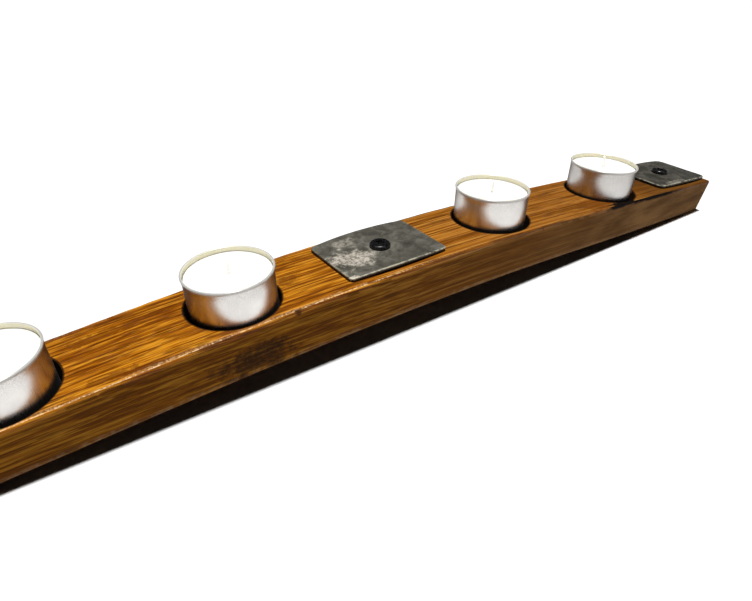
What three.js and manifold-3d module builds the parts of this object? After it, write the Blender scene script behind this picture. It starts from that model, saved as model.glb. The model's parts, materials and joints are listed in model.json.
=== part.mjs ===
// Tealight holder made from a bowed oak barrel stave. Four tealights stand in bored
// recesses, and three pieces of steel barrel hoop are screwed to the top of the stave.
//
// Millimetres, +Z up. The origin is on the table plane, under the middle of the stave.
// +X runs along the stave and +Y across it.
import * as THREE from 'three';
import { mergeVertices } from 'three/addons/utils/BufferGeometryUtils.js';
import Module from 'manifold-3d';

// ---- Driving dimensions ----------------------------------------------------------

const GAP = 0.3; // clearance left between pieces that touch

// Stave
const STAVE_LENGTH = 492;
const STAVE_THICKNESS = 24; // in the middle of the length
const STAVE_END_THICKNESS = 21.75;
const STAVE_WIDTH = 45.4; // at the top face, in the middle of the length
const STAVE_END_WIDTH = 41.4; // at the top face, at both ends
const SIDE_BEVEL = 1.8; // how far each side leans in at the bottom, in the middle
const SIDE_BEVEL_GAIN = 2; // how much further each side leans in at both ends
const ARRIS = 1; // rounding of the long top edges
const FOOT_CHAMFER = 0.6; // along the long bottom edges
const END_BREAK = 1; // bevel on the cross edges at both ends
const ARCH_HEIGHT = 11; // from the table to the underside, in the middle
const ARCH_CURVED_SHARE = 0.5; // middle share of the arch that bends; the rest is straight
const FOOT_LENGTH = 9; // planed flat under each end

// Tealights and their recesses
const RECESS_RADIUS = 20.2;
const RECESS_DEPTH = 9.1;
const SPUR_RADIUS = 1.2; // mark of the drill's centre point in each recess floor
const SPUR_DEPTH = 1.5;
const CUP_HEIGHT = 25;
const CUP_BASE_RADIUS = 18.5;
const CUP_TOP_RADIUS = 18.7;
const CUP_CORNER = 1.2;
const CUP_WALL = 0.4;
const RIM_RADIUS = 19.2; // outside of the curled rim
const RIM_CURL = 0.5; // radius of the curl's round section
const WAX_BELOW_RIM = 2.2;
const WAX_DISH = 0.5; // how far the wax sinks towards the wick
const TAB_RADIUS = 6.5; // steel wick tab pressed into the underside of the wax
const TAB_THICKNESS = 0.4;
const TAB_COLLAR_RADIUS = 1.6;
const TAB_COLLAR_HEIGHT = 4;
const WICK_RADIUS = 0.7;
const WICK_ABOVE_WAX = 6.5;
const WICK_LEAN = 1.1; // sideways reach of the wick's free end

// Where each tealight stands: its station along the stave, how far it sits off the
// middle of its recess, and which way its wick leans
const TEALIGHTS = [
  { station: -161.4, offset: 0.6, turn: 140 },
  { station: -72.5, offset: -0.5, turn: 20 },
  { station: 72.5, offset: 1, turn: 250 },
  { station: 161.4, offset: 1.1, turn: 80 },
];

// Hoop pieces and screws
const PLATE_THICKNESS = 1.5;
const HOOP_RADIUS = 400; // the bend that the pieces keep from the barrel
const SCREW_HOLE_RADIUS = 2.3;
const SCREW_HEAD_RADIUS = 5;
const SCREW_HEAD_HEIGHT = 1.9;
const SHANK_RADIUS = 1.9;
const SHANK_LENGTH = 16; // below the head, with the point
const POINT_LENGTH = 4;
const DRIVE_WIDTH = 1.1; // one slot of the cross recess
const DRIVE_REACH = 2.3; // from the screw's axis to the end of a slot
const DRIVE_DEPTH = 1.3;

// Each hoop piece: its middle along and across the stave, its size, how far its long edges
// swell out in the middle, the rounding of its corners, and where its screw goes, in X and
// Y from the middle of the piece. The end pieces are almost flush with the ends.
const END_PIECE = { offset: 0.3, length: 47, width: 34.8, bulge: 0.8, corner: 4 };
const PLATES = [
  { ...END_PIECE, name: 'left', station: -222, hole: [1.9, -0.3] },
  {
    name: 'centre',
    station: 1.4,
    offset: 0.2,
    length: 54,
    width: 36.4,
    bulge: 1.2,
    corner: 2.4,
    hole: [0.3, -0.7],
  },
  { ...END_PIECE, name: 'right', station: 222, hole: [-1.9, -0.3] },
];

// ---- Facets ----------------------------------------------------------------------

const STAVE_STEPS = 32;
const RECESS_STEPS = 32;
const CUP_STEPS = 28;
const TAB_STEPS = 14;
const SCREW_STEPS = 16;
const PLATE_STEPS = 8;
const WICK_SIDES = 6;
const WICK_STEPS = 7;

// ---- Materials -------------------------------------------------------------------

function material(colour, roughness, metalness) {
  return new THREE.MeshStandardMaterial({ color: colour, roughness, metalness });
}

const oak = () => material(0x9a5a1e, 0.35, 0);
const hoopSteel = () => material(0x5f5d58, 0.55, 0.8);
const blackSteel = () => material(0x16161a, 0.4, 0.7);
const aluminium = () => material(0xc9c6c8, 0.35, 1);
const wax = () => material(0xf7f3e6, 0.5, 0);
const cotton = () => material(0xefe9da, 0.9, 0);
const tinnedSteel = () => material(0xa8a8a6, 0.4, 1);

// ---- Solids: cutting with manifold-3d --------------------------------------------

const wasm = await Module();
wasm.setup();

function toSolid(geometry) {
  const bare = geometry.clone();
  bare.deleteAttribute('normal');
  bare.deleteAttribute('uv');
  const merged = mergeVertices(bare);
  return new wasm.Manifold(new wasm.Mesh({
    numProp: 3,
    vertProperties: Float32Array.from(merged.attributes.position.array),
    triVerts: Uint32Array.from(merged.index.array),
  }));
}

function toGeometry(solid) {
  const mesh = solid.getMesh();
  const geometry = new THREE.BufferGeometry();
  geometry.setAttribute('position', new THREE.BufferAttribute(mesh.vertProperties, 3));
  geometry.setIndex(new THREE.BufferAttribute(mesh.triVerts, 1));
  geometry.computeVertexNormals();
  return geometry;
}

function cut(geometry, cutters) {
  let solid = toSolid(geometry);
  for (const cutter of cutters) {
    solid = solid.subtract(toSolid(cutter));
  }
  return toGeometry(solid);
}

// ---- Shape helpers ---------------------------------------------------------------

// Turns a profile of [radius, height] points about Z.
function turned(profile, steps) {
  const points = profile.map(([radius, height]) => new THREE.Vector2(radius, height));
  return new THREE.LatheGeometry(points, steps).rotateX(Math.PI / 2);
}

// Points of a circular arc in a turned profile, with angles in degrees.
function arc(radius, height, size, from, to, steps) {
  const points = [];
  for (let i = 0; i <= steps; i += 1) {
    const angle = THREE.MathUtils.degToRad(from + ((to - from) * i) / steps);
    points.push([radius + size * Math.cos(angle), height + size * Math.sin(angle)]);
  }
  return points;
}

// Extrudes an outline drawn in X and Z evenly to both sides of the XZ plane.
function extrudedAcross(shape, width) {
  return new THREE.ExtrudeGeometry(shape, { depth: width, bevelEnabled: false })
    .translate(0, 0, -width / 2)
    .rotateX(Math.PI / 2);
}

function named(name, geometry, surface) {
  const mesh = new THREE.Mesh(geometry, surface);
  mesh.name = name;
  return mesh;
}

// ---- Stave: a gentle arch with straight ends ---------------------------------------

const HALF_LENGTH = STAVE_LENGTH / 2;
const ARCH_HALF = HALF_LENGTH - FOOT_LENGTH; // from the middle to where the arch lands
const BEND_HALF = ARCH_HALF * ARCH_CURVED_SHARE;
const BEND_DROP = ARCH_HEIGHT * ARCH_CURVED_SHARE / (2 - ARCH_CURVED_SHARE);
const END_SLOPE = (2 * BEND_DROP) / BEND_HALF;

// Height of the arch's curve above the table: a parabola, then straight lines.
function archHeight(x) {
  const reach = Math.abs(x);
  if (reach < BEND_HALF) {
    return ARCH_HEIGHT - BEND_DROP * (reach / BEND_HALF) ** 2;
  }
  return ARCH_HEIGHT - BEND_DROP - END_SLOPE * (reach - BEND_HALF);
}

const THICKNESS_LOSS = STAVE_THICKNESS - STAVE_END_THICKNESS;

const thicknessAt = (x) => STAVE_THICKNESS - THICKNESS_LOSS * (x / HALF_LENGTH) ** 2;
const topHeight = (x) => archHeight(x) + thicknessAt(x);

// How steeply the top face falls towards +X at station x.
function topFall(x) {
  const bend = THREE.MathUtils.clamp(x / BEND_HALF, -1, 1);
  return END_SLOPE * bend + (2 * THICKNESS_LOSS * x) / HALF_LENGTH ** 2;
}

// A group on the top face at station x, with its Z axis square to the face.
function onTop(x, offset = 0) {
  const group = new THREE.Group();
  group.position.set(x, offset, topHeight(x));
  group.rotation.y = Math.atan(topFall(x));
  return group;
}

// The same place as a geometry transform, for the cutters.
function movedOnTop(geometry, x, offset = 0) {
  const place = onTop(x, offset);
  place.updateMatrix();
  return geometry.applyMatrix4(place.matrix);
}

// Cross-section in the middle of the length, in Y and Z above the underside.
function staveSection() {
  const top = STAVE_WIDTH / 2;
  const bottom = top - SIDE_BEVEL;
  const high = STAVE_THICKNESS;
  const sideTop = high - ARRIS;
  const section = new THREE.Shape();
  section.moveTo(-bottom + FOOT_CHAMFER, 0);
  section.lineTo(bottom - FOOT_CHAMFER, 0);
  section.lineTo(bottom, FOOT_CHAMFER);
  section.lineTo(top, sideTop);
  section.quadraticCurveTo(top, high, top - ARRIS, high);
  section.lineTo(-top + ARRIS, high);
  section.quadraticCurveTo(-top, high, -top, sideTop);
  section.lineTo(-bottom, FOOT_CHAMFER);
  section.closePath();
  return section;
}

// Places along the stave where the cross-section is set: both ends and their bevels,
// and even steps along the arch between the feet.
function staveStations() {
  const stations = [-HALF_LENGTH, -HALF_LENGTH + END_BREAK];
  for (let i = 0; i <= STAVE_STEPS; i += 1) {
    stations.push(-ARCH_HALF + (2 * ARCH_HALF * i) / STAVE_STEPS);
  }
  stations.push(HALF_LENGTH - END_BREAK, HALF_LENGTH);
  return stations;
}

// The section is swept along the stations, drawn in and thinned towards both ends,
// lifted onto the arch, and planed off level with the table under the ends.
function staveBlank() {
  const stations = staveStations();
  const steps = stations.length - 1;
  const blank = new THREE.ExtrudeGeometry(staveSection(), {
    depth: steps,
    steps,
    bevelEnabled: false,
    curveSegments: 3,
  });
  const place = blank.attributes.position;
  const middle = STAVE_THICKNESS / 2;
  const widthLoss = 1 - STAVE_END_WIDTH / STAVE_WIDTH;
  for (let i = 0; i < place.count; i += 1) {
    const step = Math.round(place.getZ(i));
    const x = stations[step];
    const atEnd = step === 0 || step === steps;
    const inset = atEnd ? END_BREAK / middle : 0;
    const toEnd = (x / HALF_LENGTH) ** 2;
    const share = (middle + (place.getY(i) - middle) * (1 - inset)) / STAVE_THICKNESS;
    const lean = SIDE_BEVEL_GAIN * toEnd * (1 - share);
    const reach = Math.abs(place.getX(i)) * (1 - widthLoss * toEnd) * (1 - inset / 2) - lean;
    const across = Math.sign(place.getX(i)) * reach;
    const height = archHeight(x) + share * thicknessAt(x);
    place.setXYZ(i, x, across, Math.max(height, atEnd ? END_BREAK : 0));
  }
  return blank;
}

function recessCutter({ station }) {
  const above = 5;
  const cutter = turned([
    [0, -RECESS_DEPTH - SPUR_DEPTH],
    [SPUR_RADIUS, -RECESS_DEPTH],
    [RECESS_RADIUS, -RECESS_DEPTH],
    [RECESS_RADIUS, above],
    [0, above],
  ], RECESS_STEPS);
  return movedOnTop(cutter, station);
}

function pilotHole({ station, offset, hole }) {
  const above = 5;
  const cutter = turned([
    [0, -SHANK_LENGTH],
    [SHANK_RADIUS + GAP, -SHANK_LENGTH + POINT_LENGTH],
    [SHANK_RADIUS + GAP, above],
    [0, above],
  ], SCREW_STEPS).translate(...hole, 0);
  return movedOnTop(cutter, station, offset);
}

// ---- Hoop pieces -------------------------------------------------------------------

// Height of the underside of a bent piece above the wood under its middle, so that both
// of its ends clear the wood by the gap.
function crownClearance(station, length) {
  const half = length / 2;
  const fallOfHoop = HOOP_RADIUS - Math.sqrt(HOOP_RADIUS ** 2 - half ** 2);
  const riseOfWood = (reach) =>
    topHeight(station + reach) - topHeight(station) + topFall(station) * reach;
  return GAP + fallOfHoop + Math.max(riseOfWood(-half), riseOfWood(half));
}

// A rectangle with rounded corners and swollen long edges, and the hole for its screw.
function plateOutline({ length, width, bulge, corner, hole: [holeX, holeY] }) {
  const x = length / 2;
  const y = width / 2;
  const outline = new THREE.Shape();
  outline.moveTo(-x + corner, -y);
  outline.quadraticCurveTo(0, -y - 2 * bulge, x - corner, -y);
  outline.quadraticCurveTo(x, -y, x, -y + corner);
  outline.lineTo(x, y - corner);
  outline.quadraticCurveTo(x, y, x - corner, y);
  outline.quadraticCurveTo(0, y + 2 * bulge, -x + corner, y);
  outline.quadraticCurveTo(-x, y, -x, y - corner);
  outline.lineTo(-x, -y + corner);
  outline.quadraticCurveTo(-x, -y, -x + corner, -y);
  const screwHole = new THREE.Path();
  screwHole.absarc(holeX, holeY, SCREW_HOLE_RADIUS, 0, 2 * Math.PI);
  outline.holes.push(screwHole);
  return outline;
}

// A strip bent along X like the hoop, with the crown of its underside at the origin.
function bentStrip({ length, width }) {
  const inner = HOOP_RADIUS;
  const outer = HOOP_RADIUS + PLATE_THICKNESS;
  const half = Math.asin((length / 2 + 1) / inner);
  const upper = [];
  const lower = [];
  for (let i = 0; i <= PLATE_STEPS; i += 1) {
    const angle = half - (2 * half * i) / PLATE_STEPS;
    const along = Math.sin(angle);
    const up = Math.cos(angle);
    upper.push(new THREE.Vector2(outer * along, outer * up - inner));
    lower.unshift(new THREE.Vector2(inner * along, inner * up - inner));
  }
  return extrudedAcross(new THREE.Shape([...upper, ...lower]), 2 * width);
}

function hoopPlate(piece) {
  const tall = 20;
  const blank = new THREE.ExtrudeGeometry(plateOutline(piece), {
    depth: tall,
    bevelEnabled: false,
    curveSegments: PLATE_STEPS,
  }).translate(0, 0, -tall / 2);
  return toGeometry(toSolid(bentStrip(piece)).intersect(toSolid(blank)));
}

// ---- Screws: pan head with a cross recess, origin under the head -------------------

function screw() {
  const headCorner = 1.4;
  const profile = [
    [0, -SHANK_LENGTH + GAP],
    [SHANK_RADIUS, -SHANK_LENGTH + POINT_LENGTH + GAP],
    [SHANK_RADIUS, 0],
    [SCREW_HEAD_RADIUS, 0],
    ...arc(SCREW_HEAD_RADIUS - headCorner, SCREW_HEAD_HEIGHT - headCorner, headCorner, 10, 80, 2),
    [0, SCREW_HEAD_HEIGHT],
  ];
  const slot = [2 * DRIVE_REACH, DRIVE_WIDTH, 2 * DRIVE_DEPTH];
  const along = new THREE.BoxGeometry(...slot).translate(0, 0, SCREW_HEAD_HEIGHT);
  const across = along.clone().rotateZ(Math.PI / 2);
  return cut(turned(profile, SCREW_STEPS), [along, across]);
}

// ---- Tealight: everything stands on the cup's base plane ---------------------------

const cupOuterRadius = (z) =>
  CUP_BASE_RADIUS + (CUP_TOP_RADIUS - CUP_BASE_RADIUS) * (z / CUP_HEIGHT);

function cup() {
  const curlZ = CUP_HEIGHT - RIM_CURL;
  const curlRadius = RIM_RADIUS - RIM_CURL;
  const innerCorner = CUP_CORNER - CUP_WALL;
  const wallTop = CUP_HEIGHT - 2 * RIM_CURL;
  return turned([
    [0, 0],
    ...arc(CUP_BASE_RADIUS - CUP_CORNER, CUP_CORNER, CUP_CORNER, -90, 0, 1),
    [cupOuterRadius(wallTop), wallTop],
    ...arc(curlRadius, curlZ, RIM_CURL, -60, 150, 3),
    [cupOuterRadius(wallTop) - CUP_WALL, wallTop],
    ...arc(CUP_BASE_RADIUS - CUP_CORNER, CUP_CORNER, innerCorner, 0, -90, 1),
    [0, CUP_WALL],
  ], CUP_STEPS);
}

const FLOOR = CUP_WALL + GAP; // plane that the wax and the wick tab stand on
const WAX_TOP = CUP_HEIGHT - WAX_BELOW_RIM;

const waxRadius = (z) => cupOuterRadius(z) - CUP_WALL - GAP;

function waxBody() {
  const bore = WICK_RADIUS + GAP;
  const pocket = TAB_RADIUS + GAP;
  const pocketTop = FLOOR + TAB_THICKNESS + GAP;
  const collar = TAB_COLLAR_RADIUS + GAP;
  const collarTop = FLOOR + TAB_COLLAR_HEIGHT + GAP;
  const topEdge = waxRadius(WAX_TOP);
  return turned([
    [bore, collarTop],
    [collar, collarTop],
    [collar, pocketTop],
    [pocket, pocketTop],
    [pocket, FLOOR],
    [waxRadius(0) - CUP_CORNER, FLOOR],
    [waxRadius(CUP_CORNER), FLOOR + CUP_CORNER],
    [topEdge, WAX_TOP],
    [topEdge / 2, WAX_TOP - WAX_DISH],
    [bore, WAX_TOP - WAX_DISH],
    [bore, collarTop],
  ], CUP_STEPS);
}

function wickTab() {
  const bore = WICK_RADIUS + GAP;
  const disc = FLOOR + TAB_THICKNESS;
  return turned([
    [bore, FLOOR],
    [TAB_RADIUS, FLOOR],
    [TAB_RADIUS, disc],
    [TAB_COLLAR_RADIUS, disc],
    [TAB_COLLAR_RADIUS, FLOOR + TAB_COLLAR_HEIGHT],
    [bore, FLOOR + TAB_COLLAR_HEIGHT],
    [bore, FLOOR],
  ], TAB_STEPS);
}

function wick() {
  const route = new THREE.CatmullRomCurve3([
    new THREE.Vector3(0, 0, FLOOR + GAP),
    new THREE.Vector3(0, 0, WAX_TOP / 2),
    new THREE.Vector3(0, 0, WAX_TOP),
    new THREE.Vector3(WICK_LEAN / 3, 0, WAX_TOP + WICK_ABOVE_WAX / 2),
    new THREE.Vector3(WICK_LEAN, 0, WAX_TOP + WICK_ABOVE_WAX),
  ]);
  const section = new THREE.Shape().absarc(0, 0, WICK_RADIUS, 0, 2 * Math.PI);
  return new THREE.ExtrudeGeometry(section, {
    extrudePath: route,
    steps: WICK_STEPS,
    curveSegments: WICK_SIDES,
  });
}

function tealight({ station, offset, turn }, number) {
  const group = onTop(station, offset);
  const stand = new THREE.Group();
  stand.position.z = GAP - RECESS_DEPTH;
  stand.rotation.z = THREE.MathUtils.degToRad(turn);
  stand.add(named(`cup_${number}`, cup(), aluminium()));
  stand.add(named(`wax_${number}`, waxBody(), wax()));
  stand.add(named(`wick_${number}`, wick(), cotton()));
  stand.add(named(`wick_tab_${number}`, wickTab(), tinnedSteel()));
  group.add(stand);
  return group;
}

// ---- Assembly ----------------------------------------------------------------------

function plateWithScrew(piece) {
  const { name, station, offset, length } = piece;
  const group = onTop(station, offset);
  const crown = crownClearance(station, length);
  const plate = named(`hoop_plate_${name}`, hoopPlate(piece), hoopSteel());
  plate.position.z = crown;
  const fixing = named(`screw_${name}`, screw(), blackSteel());
  fixing.position.set(...piece.hole, crown + PLATE_THICKNESS + GAP);
  group.add(plate, fixing);
  return group;
}

function stave() {
  const cutters = [...TEALIGHTS.map(recessCutter), ...PLATES.map(pilotHole)];
  return named('stave', cut(staveBlank(), cutters), oak());
}

const group = new THREE.Group();
group.add(stave());
group.add(...PLATES.map(plateWithScrew));
group.add(...TEALIGHTS.map((place, index) => tealight(place, index + 1)));

export default group;
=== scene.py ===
"""Tealight holder from a barrel stave: the looks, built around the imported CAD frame."""
import json
import math

import bmesh
import bpy
from mathutils import Matrix, Vector, noise


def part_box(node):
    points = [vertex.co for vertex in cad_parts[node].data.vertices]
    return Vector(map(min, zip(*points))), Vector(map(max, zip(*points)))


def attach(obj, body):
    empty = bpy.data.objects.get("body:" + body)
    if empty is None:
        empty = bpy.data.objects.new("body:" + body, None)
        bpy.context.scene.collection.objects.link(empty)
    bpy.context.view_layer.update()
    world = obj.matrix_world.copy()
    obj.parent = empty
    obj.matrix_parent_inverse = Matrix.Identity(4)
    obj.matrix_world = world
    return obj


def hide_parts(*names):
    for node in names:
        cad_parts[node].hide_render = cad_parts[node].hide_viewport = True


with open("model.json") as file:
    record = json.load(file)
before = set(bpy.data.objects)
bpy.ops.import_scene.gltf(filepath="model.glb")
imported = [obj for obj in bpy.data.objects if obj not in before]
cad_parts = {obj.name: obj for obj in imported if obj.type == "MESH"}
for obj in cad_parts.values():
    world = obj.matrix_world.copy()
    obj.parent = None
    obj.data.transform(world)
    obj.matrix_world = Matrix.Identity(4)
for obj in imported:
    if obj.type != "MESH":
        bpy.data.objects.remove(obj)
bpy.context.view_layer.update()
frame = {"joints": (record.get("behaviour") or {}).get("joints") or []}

MM = 0.001


def in_mm(*sizes):
    """Sizes or a place given in millimetres."""
    return tuple(size * MM for size in sizes)


def in_scene(name, data):
    """An object of the scene that shows this mesh, lamp or camera."""
    thing = bpy.data.objects.new(name, data)
    bpy.context.scene.collection.objects.link(thing)
    return thing


# ---- Camera ----

CAMERA_PLACE = Vector((-154.9, -221.7, 177.9)) * MM
CAMERA_YAW = math.radians(34.92)  # from +Y towards +X
CAMERA_PITCH = math.radians(32.16)  # down from level
CAMERA_ROLL = math.radians(0.12)
CAMERA_LENS = 31.24
SENSOR_WIDTH = 36.0


def make_camera():
    level = math.cos(CAMERA_PITCH)
    north = math.cos(CAMERA_YAW) * level
    ahead = Vector((math.sin(CAMERA_YAW) * level, north, -math.sin(CAMERA_PITCH)))
    right = ahead.cross(Vector((0, 0, 1))).normalized()
    up = right.cross(ahead)
    cos_roll = math.cos(CAMERA_ROLL)
    sin_roll = math.sin(CAMERA_ROLL)
    turned_right = right * cos_roll + up * sin_roll
    turned_up = up * cos_roll - right * sin_roll
    data = bpy.data.cameras.new("camera")
    data.sensor_width = SENSOR_WIDTH
    data.lens = CAMERA_LENS
    data.clip_start = 10 * MM
    camera = in_scene("camera", data)
    axes = Matrix((turned_right, turned_up, -ahead)).transposed()
    camera.matrix_world = Matrix.Translation(CAMERA_PLACE) @ axes.to_4x4()
    bpy.context.scene.camera = camera


# ---- Sizes ----

STAVE_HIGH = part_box("stave")[1]
HALF_LENGTH = STAVE_HIGH.x
HALF_WIDTH = STAVE_HIGH.y
THICKNESS = 24 * MM  # in the middle of the length
THICKNESS_LOSS = 2.25 * MM  # thinner by this at both ends
ARCH_HEIGHT = STAVE_HIGH.z - THICKNESS
END_HALF_WIDTH = 20.7 * MM
SIDE_BEVEL = 1.8 * MM  # how far each side leans in at the bottom, in the middle
SIDE_BEVEL_GAIN = 2 * MM  # how much further each side leans in at both ends
FOOT_LENGTH = 9 * MM
BEND_HALF = (HALF_LENGTH - FOOT_LENGTH) / 2  # the middle half of the arch bends
BEND_DROP = ARCH_HEIGHT / 3
END_SLOPE = 2 * BEND_DROP / BEND_HALF

RECESS_RADIUS = 20.2 * MM
RECESS_DEPTH = 9.1 * MM
SPUR_RADIUS = 1.2 * MM
SPUR_DEPTH = 1.5 * MM
PILOT_RADIUS = 2.2 * MM
PILOT_DEPTH = 16 * MM
ABOVE_TOP = 6 * MM  # how far the cutters of recesses and pilot holes reach above the wood

CUP_HEIGHT = 25 * MM
CUP_BASE_RADIUS = 18.5 * MM
CUP_TOP_RADIUS = 18.7 * MM
CUP_CORNER = 1.2 * MM
CUP_WALL = 0.4 * MM
RIM_RADIUS = 19.2 * MM
RIM_CURL = 0.5 * MM
WAX_TOP = CUP_HEIGHT - 2.2 * MM
FLOOR = 0.7 * MM  # from the cup's base plane up to the wax and the wick tab
GAP = 0.3 * MM
WICK_RADIUS = 0.7 * MM
WICK_LEAN = 1.1 * MM
WICK_ABOVE_WAX = 6.5 * MM
TAB_RADIUS = 6.5 * MM
TAB_THICKNESS = 0.4 * MM
TAB_COLLAR_RADIUS = 1.6 * MM
TAB_COLLAR_HEIGHT = 4 * MM

PLATE_THICKNESS = 1.5 * MM
HOOP_RADIUS = 400 * MM
HOLE_RADIUS = 2.3 * MM
HEAD_RADIUS = 5 * MM
HEAD_HEIGHT = 1.9 * MM
SHANK_RADIUS = 1.9 * MM
POINT_LENGTH = 4 * MM

SAME_PLACE = 1e-7  # points closer than this are one point
TEALIGHTS = (1, 2, 3, 4)

# Each hoop piece: where it lies along and across the stave, its size, how far its long
# edges swell out in the middle, the rounding of its corners, and its screw's place.
END_PIECE = {"length": 47 * MM, "width": 34.8 * MM, "bulge": 0.8 * MM, "corner": 4 * MM}
PLATES = {
    "left": {**END_PIECE, "at": in_mm(-222, 0.3), "hole": in_mm(1.9, -0.3)},
    "centre": {
        "at": in_mm(1.4, 0.2),
        "length": 54 * MM,
        "width": 36.4 * MM,
        "bulge": 1.2 * MM,
        "corner": 2.4 * MM,
        "hole": in_mm(0.3, -0.7),
    },
    "right": {**END_PIECE, "at": in_mm(222, 0.3), "hole": in_mm(-1.9, -0.3)},
}


def arch_height(x):
    """Height of the arch's curve above the table: a parabola, then straight ends."""
    reach = abs(x)
    if reach < BEND_HALF:
        return ARCH_HEIGHT - BEND_DROP * (reach / BEND_HALF) ** 2
    return ARCH_HEIGHT - BEND_DROP - END_SLOPE * (reach - BEND_HALF)


def thickness_at(x):
    return THICKNESS - THICKNESS_LOSS * (x / HALF_LENGTH) ** 2


def top_height(x):
    return arch_height(x) + thickness_at(x)


def top_fall(x):
    """How steeply the top face falls towards +X."""
    bend = max(-1.0, min(1.0, x / BEND_HALF))
    return END_SLOPE * bend + 2 * THICKNESS_LOSS * x / HALF_LENGTH ** 2


def half_width(x):
    """Half of the top face's width at station x."""
    return HALF_WIDTH - (HALF_WIDTH - END_HALF_WIDTH) * (x / HALF_LENGTH) ** 2


def side_lean(x):
    """How far each side leans in from the top face to the bottom."""
    return SIDE_BEVEL + SIDE_BEVEL_GAIN * (x / HALF_LENGTH) ** 2


def on_top(x, y=0.0):
    """The place on the stave's top face at station x, with Z square to the face."""
    return Matrix.Translation((x, y, top_height(x))) @ Matrix.Rotation(math.atan(top_fall(x)), 4, "Y")


def joint_axis(name):
    for joint in frame["joints"]:
        if joint["name"] == name:
            return Vector(joint["axis"]).normalized()
    raise KeyError(name)


def cup_stand(number):
    """The middle of a cup's base: the wick tab is round, so its box gives the axis."""
    low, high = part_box(f"wick_tab_{number}")
    axis = joint_axis(f"tealight_{number}_lift")
    tilt = math.atan2(axis.x, axis.z)
    middle = (low + high) / 2
    tab_bottom = low.z + TAB_RADIUS * abs(math.sin(tilt))
    on_axis = Vector((middle.x, middle.y, tab_bottom))
    return Matrix.Translation(on_axis - axis * FLOOR) @ Matrix.Rotation(tilt, 4, "Y")


# ---- Mesh helpers ----


def piece(name, mesh, body, node, surface, smooth_below):
    """Links a finished mesh as a piece that stands for a CAD node."""
    mesh.materials.clear()
    mesh.materials.append(surface)
    mesh.shade_smooth()
    mesh.set_sharp_from_angle(angle=math.radians(smooth_below))
    thing = in_scene(name, mesh)
    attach(thing, body)
    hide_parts(node)


def mesh_of(name, points, faces):
    mesh = bpy.data.meshes.new(name)
    mesh.from_pydata([tuple(p) for p in points], [], faces)
    shell = bmesh.new()
    shell.from_mesh(mesh)
    bmesh.ops.remove_doubles(shell, verts=shell.verts, dist=SAME_PLACE)
    bmesh.ops.recalc_face_normals(shell, faces=shell.faces)
    shell.to_mesh(mesh)
    shell.free()
    return mesh


def loft(name, rings, loop=False):
    """Joins rings of points into one closed skin: end to end, or the last to the first."""
    size = len(rings[0])
    points = [p for ring in rings for p in ring]
    faces = []
    spans = len(rings) if loop else len(rings) - 1
    for i in range(spans):
        near = i * size
        far = (i + 1) % len(rings) * size
        for j in range(size):
            k = (j + 1) % size
            faces.append((near + j, near + k, far + k, far + j))
    if not loop:
        faces.append(tuple(range(size)))
        faces.append(tuple((len(rings) - 1) * size + j for j in reversed(range(size))))
    return mesh_of(name, points, faces)


def turned(name, profile, segments, place=None, vary=None):
    """Turns a profile of (radius, height) about Z; on the axis it closes to a point."""
    place = place or Matrix.Identity(4)
    closed = profile[0] == profile[-1]
    outline = profile[:-1] if closed else profile
    points = []
    rings = []
    for radius, height in outline:
        if radius < SAME_PLACE:
            rings.append([len(points)] * segments)
            points.append(place @ Vector((0, 0, height)))
            continue
        ring = []
        for j in range(segments):
            angle = 2 * math.pi * j / segments
            r, z = vary(radius, height, angle) if vary else (radius, height)
            ring.append(len(points))
            points.append(place @ Vector((r * math.cos(angle), r * math.sin(angle), z)))
        rings.append(ring)
    faces = []
    spans = len(rings) if closed else len(rings) - 1
    for i in range(spans):
        near = rings[i]
        far = rings[(i + 1) % len(rings)]
        for j in range(segments):
            k = (j + 1) % segments
            corners = []
            for corner in (near[j], near[k], far[k], far[j]):
                if corner not in corners:
                    corners.append(corner)
            if len(corners) > 2:
                faces.append(tuple(corners))
    return mesh_of(name, points, faces)


def arc(radius, height, size, start, stop, steps):
    """Points of a circular arc in an outline or a profile, with angles in degrees."""
    points = []
    for i in range(steps + 1):
        angle = math.radians(start + (stop - start) * i / steps)
        points.append((radius + size * math.cos(angle), height + size * math.sin(angle)))
    return points


def line(start, stop, steps):
    """Even points from start up to, but without, stop."""
    return [
        tuple(a + (b - a) * i / steps for a, b in zip(start, stop))
        for i in range(steps)
    ]


def wobble(seed, *place, size):
    """Smooth noise from -1 to 1, with its own pattern for each seed."""
    spot = Vector(place + (0.0,) * (3 - len(place))) / size
    return noise.noise(spot + Vector((seed * 17.3, seed * 5.1, seed * 9.7)))


def carve(mesh, cutters):
    """Cuts closed meshes out of a mesh, and returns the result as a new mesh."""
    blank = in_scene("blank", mesh)
    helpers = []
    for cutter_mesh in cutters:
        cut = blank.modifiers.new("cut", "BOOLEAN")
        cut.operation = "DIFFERENCE"
        cut.solver = "EXACT"
        cut.object = in_scene("cutter", cutter_mesh)
        helpers.append(cut.object)
    ready = blank.evaluated_get(bpy.context.evaluated_depsgraph_get())
    result = bpy.data.meshes.new_from_object(ready)
    for helper in helpers + [blank]:
        bpy.data.objects.remove(helper)
    return result


def add_values(mesh, **marks):
    """Stores one number on every point of a mesh under each name, for its material."""
    for name, values in marks.items():
        layer = mesh.attributes.new(name, "FLOAT", "POINT")
        layer.data.foreach_set("value", values)


def add_places(mesh, name, values):
    """Stores a place on every point of a mesh, for its material."""
    layer = mesh.attributes.new(name, "FLOAT_VECTOR", "POINT")
    layer.data.foreach_set("vector", values)


# ---- Shader helpers ----


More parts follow.
